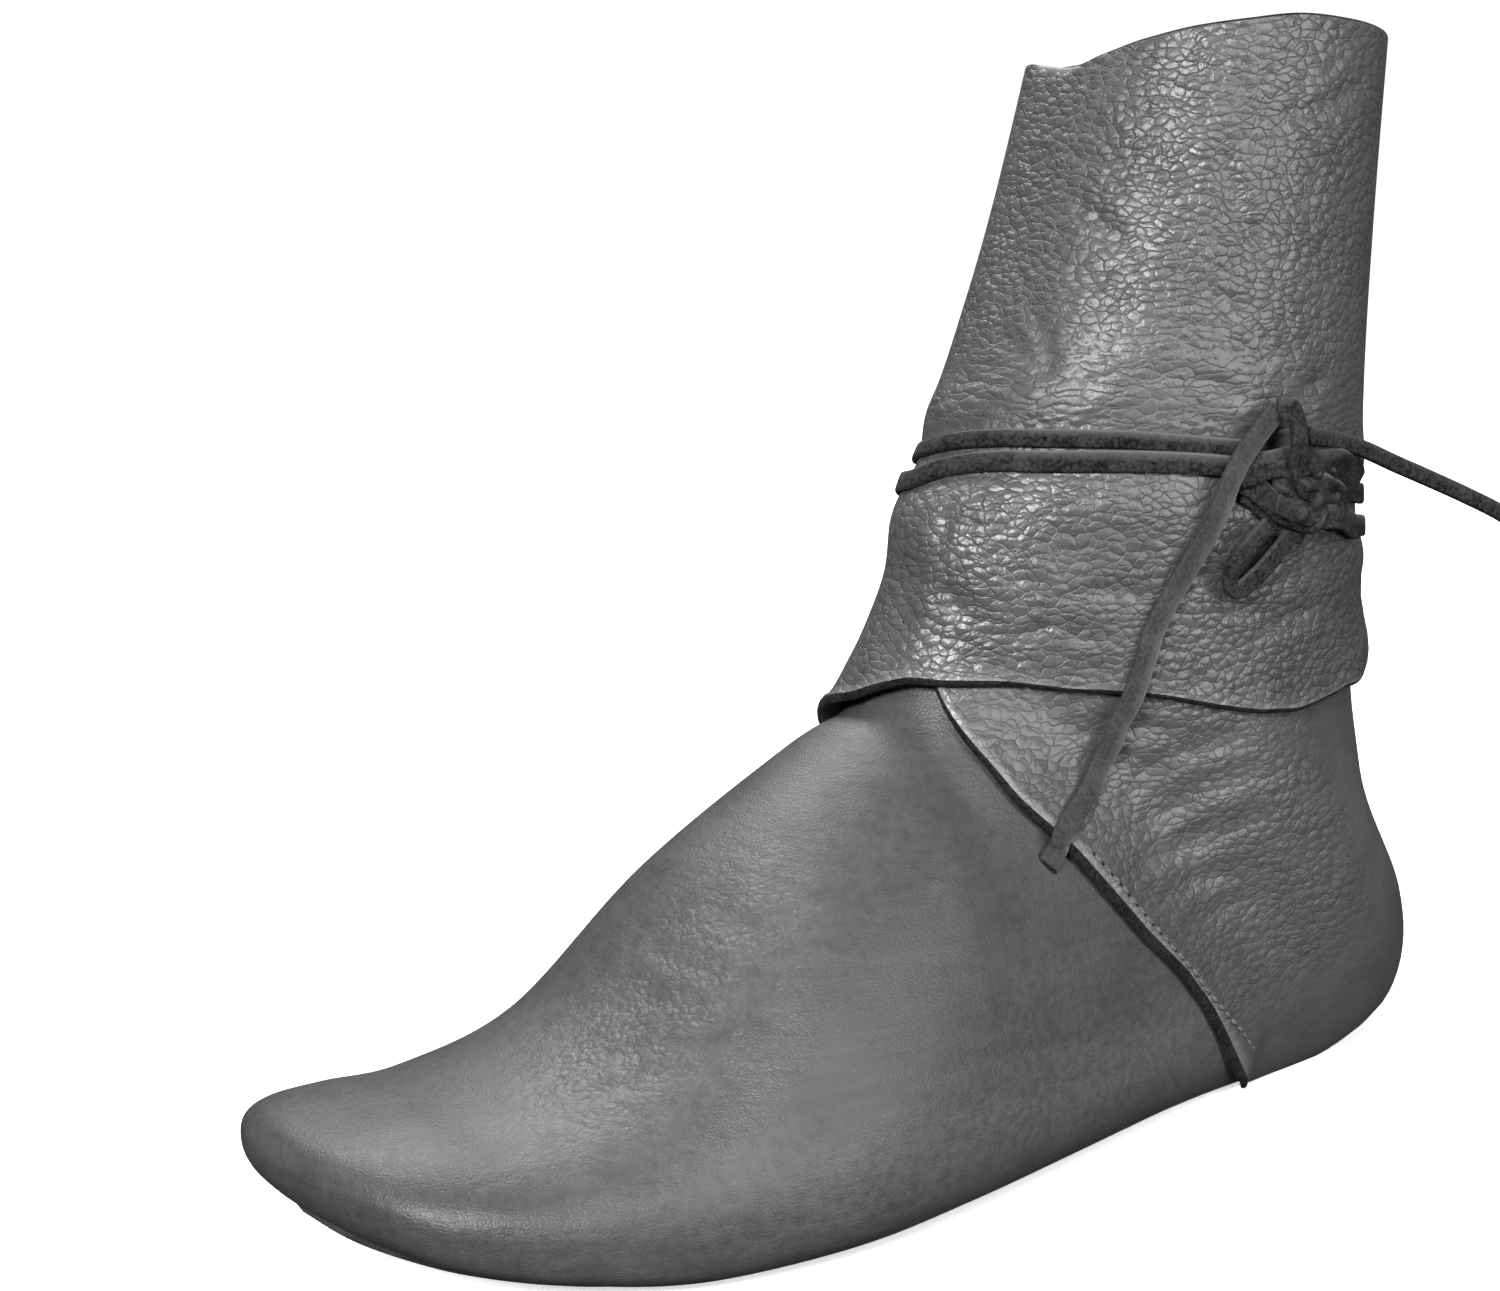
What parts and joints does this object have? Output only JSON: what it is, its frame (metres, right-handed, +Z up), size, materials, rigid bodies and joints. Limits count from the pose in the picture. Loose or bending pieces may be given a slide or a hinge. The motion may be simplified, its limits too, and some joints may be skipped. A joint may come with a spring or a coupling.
{
  "type": "renaissance boot",
  "caption": "Soft leather ankle boot for the left foot: smooth vamp, flat turned sole and a pebbled leg wrap with a side flap, bound at the ankle by a thong.",
  "frame": {"origin": "middle of the boot on the floor under its sole, without the loose thong ends", "axes": "+Z up, toe toward -Y, heel toward +Y, outer side of the left foot toward +X"},
  "size_m": [0.1048, 0.3104, 0.2412],
  "materials": {
    "sole_leather": "firm dark sole leather, matte",
    "vamp_leather": "smooth grey leather, soft sheen",
    "leg_leather": "pebbled grey leather, soft sheen",
    "thong_leather": "dark suede thong, matte"
  },
  "bodies": {
    "root": {"sole": "sole_leather", "vamp": "vamp_leather", "leg_wrap": "leg_leather", "thong_windings": "thong_leather", "thong_strand": "thong_leather", "thong_knot": "thong_leather", "thong_loop": "thong_leather", "thong_end": "thong_leather"}
  },
  "joints": []
}
